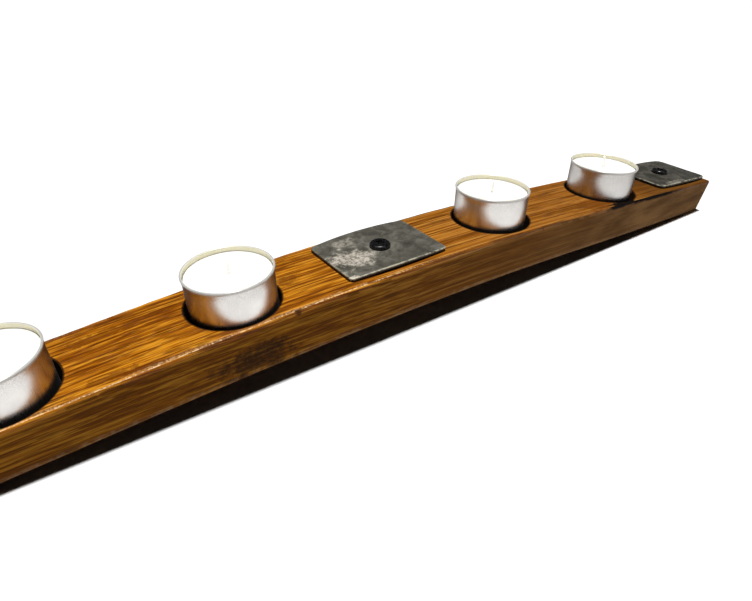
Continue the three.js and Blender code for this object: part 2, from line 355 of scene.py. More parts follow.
class Surface:
    """A material and short calls for the nodes that the materials here share."""

    def __init__(self, name):
        self.material = bpy.data.materials.new(name)
        self.material.use_nodes = True
        self.nodes = self.material.node_tree.nodes
        self.links = self.material.node_tree.links
        self.skin = self.nodes["Principled BSDF"]

    def put(self, value, socket):
        if isinstance(value, bpy.types.NodeSocket):
            self.links.new(value, socket)
        else:
            socket.default_value = value

    def set(self, **values):
        """Sets or links inputs of the surface's shader, named with _ for spaces."""
        for name, value in values.items():
            self.put(value, self.skin.inputs[name.replace("_", " ")])

    def node(self, kind, output, inputs, **settings):
        """Adds a shader node with these inputs and settings, and returns one output."""
        node = self.nodes.new(f"ShaderNode{kind}")
        for name, value in settings.items():
            setattr(node, name, value)
        for name, value in inputs.items():
            self.put(value, node.inputs[name])
        return node.outputs[output]

    def place(self, stretch=(1, 1, 1), shift=(0, 0, 0)):
        """The point on the object in metres, scaled along each axis."""
        return self.mapped(self.node("TexCoord", "Object", {}), stretch, shift)

    def mapped(self, where, stretch, shift=(0, 0, 0)):
        inputs = {"Vector": where, "Scale": stretch, "Location": shift}
        return self.node("Mapping", "Vector", inputs)

    def part(self, where, axis):
        """One coordinate of a point."""
        return self.node("SeparateXYZ", axis, {"Vector": where})

    def length(self, where):
        return self.node("VectorMath", "Value", {0: where}, operation="LENGTH")

    def distance(self, middle, reach):
        """Distance from a point on the object, where reach along each axis counts as 1."""
        scale = tuple(1 / size for size in reach)
        shift = tuple(-place / size for place, size in zip(middle, reach))
        return self.length(self.place(scale, shift))

    def ragged(self, middle, reach, scale, spread):
        """1 in a patch round a place, fading out along an uneven edge."""
        torn = self.fit(self.noise(self.place(), scale, 5, 0.65), 0.3, 0.7, spread, -spread, False)
        return self.fit(self.plus(self.distance(middle, reach), torn), 1.0, 0.5)

    def attribute(self, name, output="Fac"):
        return self.node("Attribute", output, {}, attribute_name=name)

    def noise(self, where, scale=1.0, detail=4.0, roughness=0.5, distortion=0.0):
        inputs = {"Vector": where, "Scale": scale, "Detail": detail}
        inputs.update({"Roughness": roughness, "Distortion": distortion})
        return self.node("TexNoise", "Fac", inputs)

    def math(self, operation, first, second=0.0, clamp=False):
        inputs = {0: first, 1: second}
        return self.node("Math", 0, inputs, operation=operation, use_clamp=clamp)

    def times(self, first, second):
        return self.math("MULTIPLY", first, second)

    def plus(self, first, second, clamp=False):
        return self.math("ADD", first, second, clamp)

    def minus(self, first, second):
        return self.math("SUBTRACT", first, second)

    def larger(self, first, second):
        return self.math("MAXIMUM", first, second)

    def fit(self, value, low, high, to_low=0.0, to_high=1.0, smooth=True):
        """Maps low..high to to_low..to_high, and holds it there outside."""
        inputs = {"Value": value, "From Min": low, "From Max": high}
        inputs.update({"To Min": to_low, "To Max": to_high})
        kind = "SMOOTHSTEP" if smooth else "LINEAR"
        return self.node("MapRange", "Result", inputs, interpolation_type=kind)

    def ramp(self, value, stops):
        node = self.nodes.new("ShaderNodeValToRGB")
        self.links.new(value, node.inputs["Fac"])
        band = node.color_ramp
        while len(band.elements) < len(stops):
            band.elements.new(0.5)
        for element, (position, colour) in zip(band.elements, stops):
            element.position = position
            element.color = (*colour, 1)
        return node.outputs["Color"]

    def mix(self, factor, first, second, blend="MIX"):
        node = self.nodes.new("ShaderNodeMix")
        node.data_type = "RGBA"
        node.blend_type = blend
        self.put(factor, node.inputs["Factor"])
        colours = [s for s in node.inputs if s.type == "RGBA"]
        for value, socket in zip((first, second), colours):
            self.put((*value, 1) if isinstance(value, tuple) else value, socket)
        return next(s for s in node.outputs if s.type == "RGBA")

    def tinted(self, colour, tint):
        return self.mix(1.0, colour, tint, "MULTIPLY")

    def bump(self, height, distance, strength=1.0, under=None):
        """Bumps from a height, laid over another bumped normal if there is one."""
        inputs = {"Height": height, "Distance": distance, "Strength": strength}
        if under is not None:
            inputs["Normal"] = under
        return self.node("Bump", "Normal", inputs)


# ---- Oak ----

PORE_OAK = (0.040, 0.009, 0.0005)
DEEP_OAK = (0.120, 0.029, 0.0004)
GOLDEN_OAK = (0.265, 0.082, 0.0022)
PALE_OAK = (0.46, 0.190, 0.014)
RUB_AND_HIGHLIGHT_OAK = (0.85, 0.60, 0.30)
FLOOR_REFLECTION_OAK = (0.30, 0.21, 0.12)
SIDE_OAK = (0.130, 0.046, 0.0035)
SIDE_GREY = (0.150, 0.085, 0.030)
END_OAK = (0.05, 0.02, 0.007)
RAW_OAK = (0.13, 0.045, 0.008)
PLATE_SHADOW_OAK = (0.060, 0.021, 0.003)
OLD_SIDE_DARK = (0.045, 0.022, 0.009)
OLD_SIDE_PALE = (0.270, 0.150, 0.062)
SOAKED_OAK = (0.022, 0.009, 0.003)
NEAR_BLACK_OAK = (0.004, 0.002, 0.001)
UNDERSIDE_SHADE_OAK = (0.006, 0.005, 0.004)

# Each darker patch on the top face, just right of a cup: its middle and its reach along each axis
DARK_PATCHES = (
    (in_mm(-47, 1, 34), in_mm(7, 3.5, 9)),
    (in_mm(-123, 11, 32), in_mm(20, 3.5, 9)),
    (in_mm(-128, -17, 31), in_mm(12, 2.5, 9)),
)


def oak_grain(s):
    """Returns the tone of the figure from 0 to 1, the mask of the pores, and the streaks."""
    board = s.attribute("grain", "Vector")
    # Slow drift of the grain across the board, so that it does not run dead straight.
    drift = s.noise(s.mapped(board, (9, 30, 30)), detail=1)
    drifted = {0: drift, 1: in_mm(0, 3, 2), 2: board}
    grain = s.node("VectorMath", "Vector", drifted, operation="MULTIPLY_ADD")

    bands = s.noise(s.mapped(grain, (5, 230, 200)), detail=2)
    streaks = s.noise(s.mapped(grain, (4, 780, 700)), detail=2, roughness=0.5)
    flecks = s.noise(s.mapped(grain, (26, 1300, 1200)), detail=2, roughness=0.65)
    pores = s.noise(s.mapped(grain, (45, 1500, 1400), shift=(5, 3, 1)), detail=2, roughness=0.6)
    patches = s.noise(s.mapped(board, (16, 50, 60), shift=(3, 1, 2)), detail=2)

    tone = s.times(s.fit(bands, 0.36, 0.64), 0.13)
    for figure, width, share in ((streaks, 0.10, 0.41), (flecks, 0.12, 0.34), (patches, 0.2, 0.12)):
        tone = s.plus(tone, s.times(s.fit(figure, 0.5 - width, 0.5 + width), share))
    # The figure is plainer towards the right end.
    plain = s.fit(s.part(board, "X"), -20 * MM, 100 * MM, 1.0, 0.45)
    tone = s.plus(s.times(s.minus(tone, 0.5), plain), 0.5)
    # Open pores lie in the early wood, where the bands are dark.
    crowd = s.fit(bands, 0.38, 0.62, 0.06, -0.02)
    pore_mask = s.fit(s.plus(pores, crowd), 0.55, 0.62)
    return tone, pore_mask, streaks


def oak_stain(s, tone, pore_mask):
    """The colour of the stained wood. The stain is brighter on the left half."""
    colour = s.ramp(tone, [(0.20, DEEP_OAK), (0.50, GOLDEN_OAK), (0.82, PALE_OAK)])
    colour = s.mix(s.times(pore_mask, 0.6), colour, PORE_OAK)
    to_right = s.fit(s.part(s.place(), "X"), -60 * MM, 100 * MM)
    left = s.tinted(colour, (1.22, 1.22, 1.0))
    right = s.tinted(colour, (0.98, 1.08, 3.2))
    return s.mix(to_right, left, right)


def beside_recesses(s):
    """Distance from the axis of the nearest recess, in metres."""
    inner = recess_station(3)
    outer = recess_station(4)
    where = s.place()
    along = s.math("ABSOLUTE", s.part(where, "X"))
    along = s.math("ABSOLUTE", s.minus(along, (inner + outer) / 2))
    along = s.minus(along, (outer - inner) / 2)
    return s.length(s.node("CombineXYZ", "Vector", {"X": along, "Y": s.part(where, "Y")}))


def oak_faces(s, colour, side):
    """The sides and ends, which each took the stain in their own way; painted shade in the recesses,
    round their mouths and on the underside, and a painted floor reflection along the bottom edge.
    """
    where = s.place()
    colour = s.mix(side, colour, s.tinted(colour, (0.56, 0.60, 0.8)))
    colour = s.mix(s.times(side, 0.3), colour, SIDE_OAK)
    greying = s.fit(s.part(where, "X"), 0.0, 0.26, 0.0, 0.45)
    colour = s.mix(s.times(greying, side), colour, SIDE_GREY)
    # Painted reflection of the pale floor on the bottom chamfer of the sides.
    floor_reflection = s.times(s.attribute("floor_reflection"), s.fit(s.noise(where, 300, 4, 0.6), 0.4, 0.6, 0.1, 0.5))
    colour = s.mix(floor_reflection, colour, FLOOR_REFLECTION_OAK)
    colour = s.mix(s.times(s.attribute("end_grain"), 0.55), colour, END_OAK)
    # Painted shade round the recess mouths, where the gap beside each cup falls dark.
    mouth_shade = s.fit(beside_recesses(s), RECESS_RADIUS + 0.4 * MM, RECESS_RADIUS + 1.0 * MM, 0.9, 0.0)
    colour = s.mix(s.times(mouth_shade, s.attribute("top")), colour, NEAR_BLACK_OAK)
    raw = s.fit(s.noise(where, 260, 5, 0.6), 0.60, 0.70)
    # The recess walls are painted near black as shade, with patches of raw wood.
    colour = s.mix(s.attribute("recess"), colour, s.mix(raw, NEAR_BLACK_OAK, RAW_OAK))
    # Painted shade: the underside is near black, so that the floor under the arch stays dark.
    return s.mix(s.times(s.attribute("underside_shade"), 0.93), colour, UNDERSIDE_SHADE_OAK)


def oak_rub_and_highlight(s, colour):
    """Painted highlight along the top edges, in pale beads, over a little rubbed wear. This fades out
    towards the right end.
    """
    where = s.place()
    fading = s.fit(s.part(where, "X"), -35 * MM, 50 * MM, 1.0, 0.05)
    beads = s.fit(s.noise(where, 900, 3, 0.6), 0.44, 0.58, 0.15, 1.0)
    return s.mix(s.times(s.attribute("rub_and_highlight"), s.times(fading, beads)), colour, RUB_AND_HIGHLIGHT_OAK)


def oak_marks(s, colour, side):
    """The soaked spot and the chip that this bar has got in use, and darker patches just right of the
    cups.
    """
    soaked = s.ragged(in_mm(-72, -22, 17.5), in_mm(21, 10, 9), 140, 0.45)
    speckle = s.fit(s.noise(s.place((1, 1, 2)), 500, 4, 0.7), 0.35, 0.6, 0.55, 1.0)
    soaked = s.times(s.times(soaked, speckle), side)
    colour = s.mix(s.times(soaked, 0.9), colour, SOAKED_OAK)
    for middle, reach in DARK_PATCHES:
        dark_patch = s.ragged(middle, reach, 300, 0.5)
        colour = s.mix(s.times(dark_patch, 0.6), colour, DEEP_OAK)
    chip = s.ragged(in_mm(-54, -22.2, 33), in_mm(2.2, 1.2, 2), 500, 0.4)
    return s.mix(s.times(chip, 0.8), colour, PORE_OAK)


def oak_age_and_plate_shadow(s, colour, side):
    """The right end has aged on its sides; its top darkens beside its hoop piece, as a painted shadow
    of that piece.
    """
    along = s.part(s.place(), "X")
    # Painted shadow of the right hoop piece, on the top towards the right end.
    plate_shadow = s.times(s.fit(along, 150 * MM, 200 * MM), s.minus(0.8, side))
    colour = s.mix(s.times(plate_shadow, 0.9), colour, PLATE_SHADOW_OAK)
    old_side = s.times(s.fit(along, 60 * MM, 180 * MM, 0.0, 0.45), side)
    blotches = s.fit(s.noise(s.place((0.4, 1, 1.5)), 90, 3, 0.55), 0.3, 0.7)
    colour = s.mix(old_side, colour, s.mix(blotches, OLD_SIDE_DARK, OLD_SIDE_PALE))
    warmed = s.ragged(in_mm(141, -15, 30), in_mm(20, 9, 9), 200, 0.3)
    warmed = s.times(warmed, s.minus(1.0, side))
    return s.mix(s.times(warmed, 0.65), colour, DEEP_OAK)


def oak_dark_edge_marks(s):
    """Dark marks on the front edge: on its thin wood beside the far recess, and a line along it towards
    the right end.
    """
    where = s.place()
    along = s.part(where, "X")
    by_far_recess = s.ragged(in_mm(158, -20.4, 28.4), in_mm(14, 3, 2.8), 300, 0.35)
    knot = s.ragged(in_mm(128, -14.5, 30), in_mm(6, 1.4, 9), 300, 0.4)
    front_edge_line = s.times(s.fit(along, 138 * MM, 150 * MM), s.fit(along, 225 * MM, 195 * MM))
    front_edge_line = s.times(front_edge_line, s.fit(s.noise(where, 120, 3), 0.35, 0.55, 0.55, 0.95))
    front_edge_line = s.times(front_edge_line, s.attribute("front_edge_line"))
    dark_edge_marks = s.larger(s.larger(by_far_recess, front_edge_line), s.times(knot, 0.3))
    return s.fit(dark_edge_marks, 0.0, 0.7)


def oak_surface():
    """Stained oak under lacquer. The grain attribute holds the point's place in the board."""
    s = Surface("stained_oak")
    tone, pore_mask, streaks = oak_grain(s)
    side = s.attribute("side")
    dark_edge_marks = oak_dark_edge_marks(s)
    colour = oak_faces(s, oak_stain(s, tone, pore_mask), side)
    colour = oak_marks(s, oak_rub_and_highlight(s, colour), side)
    colour = s.mix(dark_edge_marks, oak_age_and_plate_shadow(s, colour, side), NEAR_BLACK_OAK)

    board = s.attribute("grain", "Vector")
    dull = s.fit(s.noise(s.mapped(board, (60, 500, 500)), detail=3), 0.3, 0.7, 0.34, 0.48)
    underside_shade = s.times(s.attribute("underside_shade"), 0.93)
    bare = s.larger(s.larger(s.attribute("recess"), underside_shade), dark_edge_marks)
    roughness = s.plus(dull, s.times(s.larger(side, bare), 0.6), clamp=True)
    fine = s.bump(s.minus(s.times(streaks, 0.5), pore_mask), 0.00010, 0.6)
    ripple = s.noise(s.mapped(board, (60, 90, 90)), detail=2)
    normal = s.bump(ripple, 0.0005, 0.4, under=fine)
    s.set(Base_Color=colour, Roughness=roughness, Normal=normal)
    s.set(Specular_IOR_Level=0.1)
    return s.material


# ---- Other materials ----

HOOP_SKIN = ((0.066, 0.062, 0.047), (0.112, 0.105, 0.083), (0.195, 0.184, 0.152))
RUBBED_STEEL = (0.60, 0.54, 0.45)
RUST = (0.10, 0.06, 0.035)
CUT_STEEL_AND_HIGHLIGHT = (0.58, 0.55, 0.42)
HOOP_UNDERSIDE = (0.016, 0.013, 0.011)
RUBBED_BLACK = (0.16, 0.15, 0.14)
FOIL = ((0.64, 0.62, 0.60), (0.76, 0.74, 0.71))
FOIL_NECK_SHADE = (0.30, 0.28, 0.26)
FOIL_RIM = (0.56, 0.55, 0.52)
FOIL_INSIDE = (0.98, 0.94, 0.74)


def shaded_tones(tones, shade):
    return [tuple(part * shade for part in tone) for tone in tones]


def hoop_surface(name, shade, patches):
    """Old hoop steel: grey skin, rubbed pale in patches, and bright cut edges that carry a painted
    highlight.

    Each patch is its middle, its reach along each axis, and how pale it is.
    """
    s = Surface(name)
    where = s.place()
    mottle = s.noise(where, 150, 6, 0.66, 0.5)
    fine = s.noise(where, 700, 4, 0.6)
    rolled = s.noise(s.place((60, 900, 60)), 1, 3)
    tones = shaded_tones(HOOP_SKIN, shade)
    colour = s.ramp(mottle, list(zip((0.34, 0.50, 0.66), tones)))
    colour = s.mix(s.fit(rolled, 0.45, 0.75, 0, 0.25), colour, tones[0])
    colour = s.mix(s.fit(fine, 0.5, 0.7, 0, 0.35), colour, tones[2])
    speck = s.fit(s.noise(where, 650, 5, 0.75), 0.36, 0.6, 0.15, 1.0)
    paleness = 0.0
    for middle, reach, amount in patches:
        patch = s.times(s.ragged(middle, reach, 150, 0.55), amount)
        paleness = s.larger(s.times(patch, speck), paleness)
    colour = s.mix(paleness, colour, RUBBED_STEEL)
    rust = s.times(s.fit(s.noise(where, 210, 5, 0.65), 0.60, 0.75), 0.25)
    colour = s.mix(rust, colour, RUST)
    # Painted highlight on the bare cut steel of the front edges.
    edge = s.times(s.attribute("edge"), s.fit(s.noise(where, 420, 4, 0.6), 0.35, 0.55))
    colour = s.mix(s.times(edge, 0.85), colour, CUT_STEEL_AND_HIGHLIGHT)
    colour = s.mix(s.attribute("under"), colour, HOOP_UNDERSIDE)
    roughness = s.fit(mottle, 0.3, 0.7, 0.52, 0.66)
    normal = s.bump(s.plus(mottle, s.times(fine, 0.25)), 0.0005, 0.45)
    metal = s.minus(0.6, s.times(paleness, 0.5))
    s.set(Base_Color=colour, Roughness=roughness, Normal=normal, Metallic=metal)
    return s.material


def black_screw_surface():
    s = Surface("black_steel")
    where = s.place()
    grime = s.noise(where, 900, 4, 0.6)
    colour = s.ramp(grime, [(0.35, (0.006, 0.006, 0.007)), (0.65, (0.022, 0.021, 0.021))])
    rubbed = s.times(s.attribute("edge"), s.fit(s.noise(where, 1600, 3), 0.5, 0.65))
    colour = s.mix(s.times(rubbed, 0.5), colour, RUBBED_BLACK)
    s.set(Base_Color=colour, Roughness=s.fit(grime, 0.3, 0.7, 0.22, 0.4))
    s.set(Metallic=0.6, Normal=s.bump(grime, 0.0001, 0.4))
    return s.material


def foil_surface(name, shade):
    """Drawn aluminium foil: satin, with faint draw marks, painted shade in specks up the neck, a greyer
    rim, and a bright cream inside: a wax film with a painted reflection of the wax.
    """
    s = Surface(name)
    drawn = s.noise(s.attribute("unrolled", "Vector"), 1, 3, 0.6)
    cloud = s.noise(s.place(), 130, 4, 0.6)
    grit = s.noise(s.place(), 2200, 3, 0.7)
    colour = s.ramp(cloud, list(zip((0.3, 0.7), shaded_tones(FOIL, shade))))
    # Painted shade: darker specks up the neck, for the dimmer reflection near the rim.
    speckle = s.times(s.fit(grit, 0.35, 0.65), s.attribute("neck"))
    colour = s.mix(s.times(speckle, 0.55), colour, FOIL_NECK_SHADE)
    rim = s.attribute("rim")
    # The cream inside above the wax is a wax film, painted brighter as a reflection of the wax.
    inside = s.attribute("inside")
    colour = s.mix(inside, s.mix(rim, colour, FOIL_RIM), FOIL_INSIDE)
    lined = s.larger(rim, inside)
    s.set(Base_Color=colour, Metallic=s.fit(lined, 0.0, 1.0, 1.0, 0.2))
    s.set(Roughness=s.fit(drawn, 0.3, 0.7, 0.27, 0.32), Specular_Tint=(0.15, 0.13, 0.12, 1))
    fine = s.bump(s.plus(s.times(drawn, 0.12), grit), 0.00003, 0.3)
    s.set(Normal=s.bump(cloud, 0.0002, 0.2, under=fine))
    return s.material


def wax_surface():
    s = Surface("candle_wax")
    cloud = s.noise(s.place(), 160, 4, 0.55)
    colour = s.ramp(cloud, [(0.3, (0.90, 0.87, 0.78)), (0.7, (0.96, 0.94, 0.88))])
    grain = s.noise(s.place(), 1400, 3, 0.6)
    s.set(Base_Color=colour, Roughness=s.fit(cloud, 0.3, 0.7, 0.42, 0.58))
    s.set(Subsurface_Weight=0.6, Subsurface_Scale=0.004, Subsurface_Radius=(1.0, 0.8, 0.5))
    s.set(IOR=1.44, Normal=s.bump(s.plus(cloud, s.times(grain, 0.2)), 0.0004, 0.3))
    return s.material


def cotton_surface():
    s = Surface("wick_cotton")
    fibre = s.noise(s.place((1, 1, 0.25)), 5200, 3, 0.6)
    colour = s.ramp(fibre, [(0.3, (0.92, 0.91, 0.87)), (0.7, (0.98, 0.97, 0.95))])
    s.set(Base_Color=colour, Roughness=0.75, Normal=s.bump(fibre, 0.0001, 0.6))
    # The faint glow is painted light, which keeps the wick as white as lit cotton.
    s.set(Sheen_Weight=0.3, Emission_Color=(1, 0.98, 0.94, 1), Emission_Strength=0.35)
    return s.material


def tinned_surface():
    s = Surface("tinned_steel")
    cloud = s.noise(s.place(), 500, 4, 0.6)
    colour = s.ramp(cloud, [(0.3, (0.44, 0.44, 0.43)), (0.7, (0.66, 0.66, 0.65))])
    s.set(Base_Color=colour, Metallic=1.0, Roughness=s.fit(cloud, 0.3, 0.7, 0.28, 0.46))
    s.set(Normal=s.bump(cloud, 0.0001, 0.4))
    return s.material


def floor_surface():
    s = Surface("pale_floor")
    cloud = s.noise(s.place(), 3, 2)
    s.set(Base_Color=s.ramp(cloud, [(0, (0.86, 0.86, 0.86)), (1, (0.88, 0.88, 0.88))]))
    s.set(Roughness=0.9, Specular_IOR_Level=0.0)
    return s.material


# ---- Stave ----

STAVE_STATIONS = 420
END_ROUND = 1.1 * MM
END_STEPS = 4


def arris_size(x, side):
    """Radius of the worn long top edge at station x; it varies along the length."""
    slow = wobble(3 + side, x, size=0.05)
    quick = wobble(7 + side, x, size=0.006)
    return (1.0 + 0.35 * slow + 0.3 * quick) * MM


def stave_ring(x, inset):
    """The cross-section at station x, drawn in by inset at the ends."""
    wide = half_width(x) - inset
    narrow = wide - side_lean(x)
    tall = thickness_at(x)
    low = inset
    high = tall - inset
    chamfer = 0.6 * MM
    section = line((-narrow + chamfer, low), (narrow - chamfer, low), 8)
    section += arc(narrow - chamfer, low + chamfer, chamfer, -90, 0, 3)[:-1]
    right = arris_size(x, 1)
    left = arris_size(x, 0)
    section += line((narrow, low + chamfer), (wide, high - right), 10)
    section += arc(wide - right, high - right, right, 0, 90, 8)[:-1]
    section += line((wide - right, high), (-wide + left, high), 24)
    section += arc(-wide + left, high - left, left, 90, 180, 8)[:-1]
    section += line((-wide, high - left), (-narrow, low + chamfer), 10)
    section += arc(-narrow + chamfer, low + chamfer, chamfer, 180, 270, 3)[:-1]
    ring = []
    for y, z in section:
        share = z / tall
        dip = 0.08 * MM * (wobble(11, x * 0.5, y * 2, z * 2, size=0.02) - 1) * share
        scrape = 0.04 * MM * wobble(13, x, y * 3, z * 3, size=0.008) * share
        drawn_in = 0.05 * MM * (1 + wobble(17, x, z * 3, size=0.03)) / HALF_WIDTH
        ring.append(Vector((x, y * (1 - drawn_in), max(z + dip + scrape + arch_height(x), inset))))
    return ring


def stave_rings():
    """Rings from end to end, closer together where the ends round over."""
    rounding = []
    for i in range(END_STEPS):
        turn = math.radians(90 * i / END_STEPS)
        rounding.append((END_ROUND * (1 - math.cos(turn)), END_ROUND * (1 - math.sin(turn))))
    middle = HALF_LENGTH - END_ROUND
    stations = [(along - HALF_LENGTH, inset) for along, inset in rounding]
    stations += [(-middle + 2 * middle * i / STAVE_STATIONS, 0.0) for i in range(STAVE_STATIONS + 1)]
    stations += [(HALF_LENGTH - along, inset) for along, inset in reversed(rounding)]
    return [stave_ring(x, inset) for x, inset in stations]


def recess_cutter(x):
    mouth = 0.45 * MM
    corner = 0.3 * MM
    profile = [(0, -RECESS_DEPTH - SPUR_DEPTH), (SPUR_RADIUS, -RECESS_DEPTH)]
    profile += line((SPUR_RADIUS * 2, -RECESS_DEPTH), (RECESS_RADIUS - corner, -RECESS_DEPTH), 5)
    profile += arc(RECESS_RADIUS - corner, -RECESS_DEPTH + corner, corner, -90, 0, 3)
    profile += arc(RECESS_RADIUS + mouth, -mouth - 0.1 * MM, mouth, 180, 100, 4)
    profile += [(RECESS_RADIUS + 1.2 * mouth, ABOVE_TOP), (0, ABOVE_TOP)]
    return turned("recess_cutter", profile, 128, on_top(x))


def pilot_cutter(name):
    profile = [(0, -PILOT_DEPTH), (PILOT_RADIUS, POINT_LENGTH - PILOT_DEPTH)]
    profile += [(PILOT_RADIUS, ABOVE_TOP), (0, ABOVE_TOP)]
    return turned("pilot_cutter", profile, 32, screw_place(name, 0.0))


def recess_station(number):
    """Where a cup's axis meets the stave's top face, along X."""
    top = cup_stand(number) @ Vector((0, 0, RECESS_DEPTH - GAP))
    return top.x


def grain_run_out(x):
    """How far the grain has run across the board: it leaves the edges towards the left end."""
    slope = 0.045
    bend = 0.03
    return slope / 2 * (x - math.sqrt(x * x + bend * bend))


def arris_rub_and_highlight(from_side, from_top):
    """How much wear and painted highlight a rounded edge gets: most on its upper part, which catches
    the overhead light.
    """
    reach = from_side + from_top
    if reach > 1.2 * MM:
        return 0.0
    return max(0.0, 1 - abs(from_top / max(reach, 0.01 * MM) - 0.25) / 0.28)


def paint_stave(mesh):
    """Stores the board's own grain space, where the stave is side, end or recess, and masks for its
    painted shade, floor reflection and edge highlight.
    """
    grain = []
    marks = {name: [] for name in ("side", "top", "floor_reflection", "front_edge_line", "end_grain", "recess", "rub_and_highlight", "underside_shade")}
    to_recess = [on_top(recess_station(number)).inverted() for number in TEALIGHTS]
    mouth = RECESS_RADIUS + 0.25 * MM
    bottom = -(RECESS_DEPTH + SPUR_DEPTH + 0.1 * MM)
    for vertex in mesh.vertices:
        p = vertex.co
        height = p.z - arch_height(p.x)
        run_out = grain_run_out(p.x)
        tall = thickness_at(p.x)
        grain.extend((p.x, p.y + run_out, height + run_out))
        from_side = half_width(p.x) - side_lean(p.x) * (1 - height / tall) - abs(p.y)
        from_top = tall - height
        from_end = HALF_LENGTH - abs(p.x)
        in_recess = 0.0
        for back in to_recess:
            local = back @ p
            within = math.hypot(local.x, local.y) < mouth and from_side > 0.25 * MM
            if within and bottom < local.z < -0.35 * MM:
                in_recess = 1.0
        on_side = from_side < 0.5 * MM and from_top > 1.2 * MM and not in_recess
        kept = 1.0 if p.y < 0 else 0.3  # the back edge gets less of the painted highlight
        marks["side"].append(float(on_side))
        marks["top"].append(float(from_top < 0.6 * MM))
        marks["floor_reflection"].append(float(on_side and 0.4 * MM < height < 1.3 * MM))
        on_arris = from_side < 0.9 * MM and 0.2 * MM < from_top < 1.5 * MM
        marks["front_edge_line"].append(float(on_arris and p.y < 0))
        marks["end_grain"].append(float(from_end < 0.3 * MM))
        marks["recess"].append(in_recess)
        worn = max(arris_rub_and_highlight(from_side, from_top), arris_rub_and_highlight(from_end, from_top))
        marks["rub_and_highlight"].append(kept * worn)
        marks["underside_shade"].append(max(0.0, min(1.0, 1 - height / (0.5 * MM))))
    add_places(mesh, "grain", grain)
    add_values(mesh, **marks)


def make_stave():
    blank = loft("stave", stave_rings())
    cutters = [recess_cutter(recess_station(n)) for n in TEALIGHTS]
    cutters += [pilot_cutter(name) for name in PLATES]
    mesh = carve(blank, cutters)
    paint_stave(mesh)
    piece("oak_stave", mesh, "bar", "stave", oak_surface(), 38)


# ---- Hoop pieces and screws ----


def plate_outline(name, seed):
    """Points round a sheared plate with rounded corners and swollen long edges."""
    spacing = 0.6 * MM
    corner_steps = 6
    x = PLATES[name]["length"] / 2
    y = PLATES[name]["width"] / 2
    corner = PLATES[name]["corner"]
    bulge = PLATES[name]["bulge"]
    u = x - corner
    v = y - corner
    # Each side from start to stop, its swelling, and the middle of the corner after it
    sides = (
        ((-u, -y), (u, -y), -bulge, (u, -v)),
        ((x, -v), (x, v), 0.0, (u, v)),
        ((u, y), (-u, y), bulge, (-u, v)),
        ((-x, v), (-x, -v), 0.0, (-u, -v)),
    )
    outline = []
    for quarter, (start, stop, swell, middle) in enumerate(sides):
        steps = max(2, round(math.dist(start, stop) / spacing))
        for i, (along, across) in enumerate(line(start, stop, steps)):
            share = i / steps
            outline.append((along, across + swell * 4 * share * (1 - share)))
        turn = 90 * quarter
        outline.extend(arc(*middle, corner, turn - 90, turn, corner_steps)[:-1])
    rough = []
    for along, across in outline:
        drawn_in = 1 - 0.004 * (1 + wobble(seed, along, across, size=0.012))
        rough.append(Vector((along, across, 0)) * drawn_in)
    return rough


def plate_height(x, y, seed):
    """Height of the bent sheet's skin at a point of its plan, with small dents."""
    bend = math.sqrt(HOOP_RADIUS ** 2 - x ** 2) - HOOP_RADIUS
    dents = 0.05 * MM * (wobble(seed + 1, x, y, size=0.011) - 1)
    return bend + dents


def plate_crown(name):
    """Height of a plate's underside above the wood, at its middle."""
    half = PLATES[name]["length"] / 2
    station = PLATES[name]["at"][0]
    fall_of_hoop = HOOP_RADIUS - math.sqrt(HOOP_RADIUS ** 2 - half ** 2)
    rises = []
    for reach in (-half, half):
        along_tangent = top_height(station) - top_fall(station) * reach
        rises.append(top_height(station + reach) - along_tangent)
    return GAP + fall_of_hoop + max(rises)


def plate_place(name):
    return on_top(*PLATES[name]["at"]) @ Matrix.Translation((0, 0, plate_crown(name)))


def screw_place(name, height):
    """A place on the screw's axis, at this height above a plate's underside."""
    return plate_place(name) @ Matrix.Translation((*PLATES[name]["hole"], height))


def plate_skin():
    """How a plate's skin runs from its screw hole over the edge and back underneath.

    Each ring is its share of the way to the edge, how far it stays inside the edge, its
    height above the underside, and how bright and how shaded it is.
    """
    edge = 0.3 * MM
    top = PLATE_THICKNESS
    steps = 26
    bend_steps = 4
    under_steps = 8
    skin = [(i / steps, edge, top, 0.0, 0.0) for i in range(steps)]
    for i in range(bend_steps + 1):
        turn = math.radians(90 * i / bend_steps)
        height = top - edge * (1 - math.cos(turn))
        skin.append((1.0, edge * (1 - math.sin(turn)), height, 1.0, 0.0))
    skin.append((1.0, 0.0, top * 0.6, 0.2, 0.6))
    skin.append((1.0, 0.05 * MM, 0.1 * MM, 0.0, 1.0))
    for i in reversed(range(under_steps)):
        skin.append((i / under_steps, 0.2 * MM, 0.05 * MM, 0.0, 1.0))
    return skin


def edge_highlight_share(name, spot):
    """Painted highlight, on bare cut steel, along the front edge and the near half of the left one."""
    front = spot.y < -PLATES[name]["width"] / 2 + 1.2 * MM
    left = spot.x < -PLATES[name]["length"] / 2 + 0.6 * MM and spot.y < 0
    return 1.0 if front else 0.6 if left else 0.12


def make_plate(name, seed, surface):
    """A closed skin of rings that runs from the screw hole out over the edge and back."""
    outline = plate_outline(name, seed)
    hole = Vector((*PLATES[name]["hole"], 0))
    place = plate_place(name)
    rings = []
    bright = []
    shaded = []
    for share, drop, z, brightness, shade in plate_skin():
        ring = []
        for spot in outline:
            direction = (spot - hole).normalized()
            at = (hole + direction * HOLE_RADIUS).lerp(spot - direction * drop, share)
            ring.append(place @ Vector((at.x, at.y, plate_height(at.x, at.y, seed) + z)))
            bright.append(brightness * edge_highlight_share(name, spot))
            shaded.append(shade)
        rings.append(ring)
    mesh = loft(f"hoop_piece_{name}", rings, loop=True)
    add_values(mesh, edge=bright, under=shaded)
    piece(f"hoop_piece_{name}", mesh, "bar", f"hoop_plate_{name}", surface, 45)


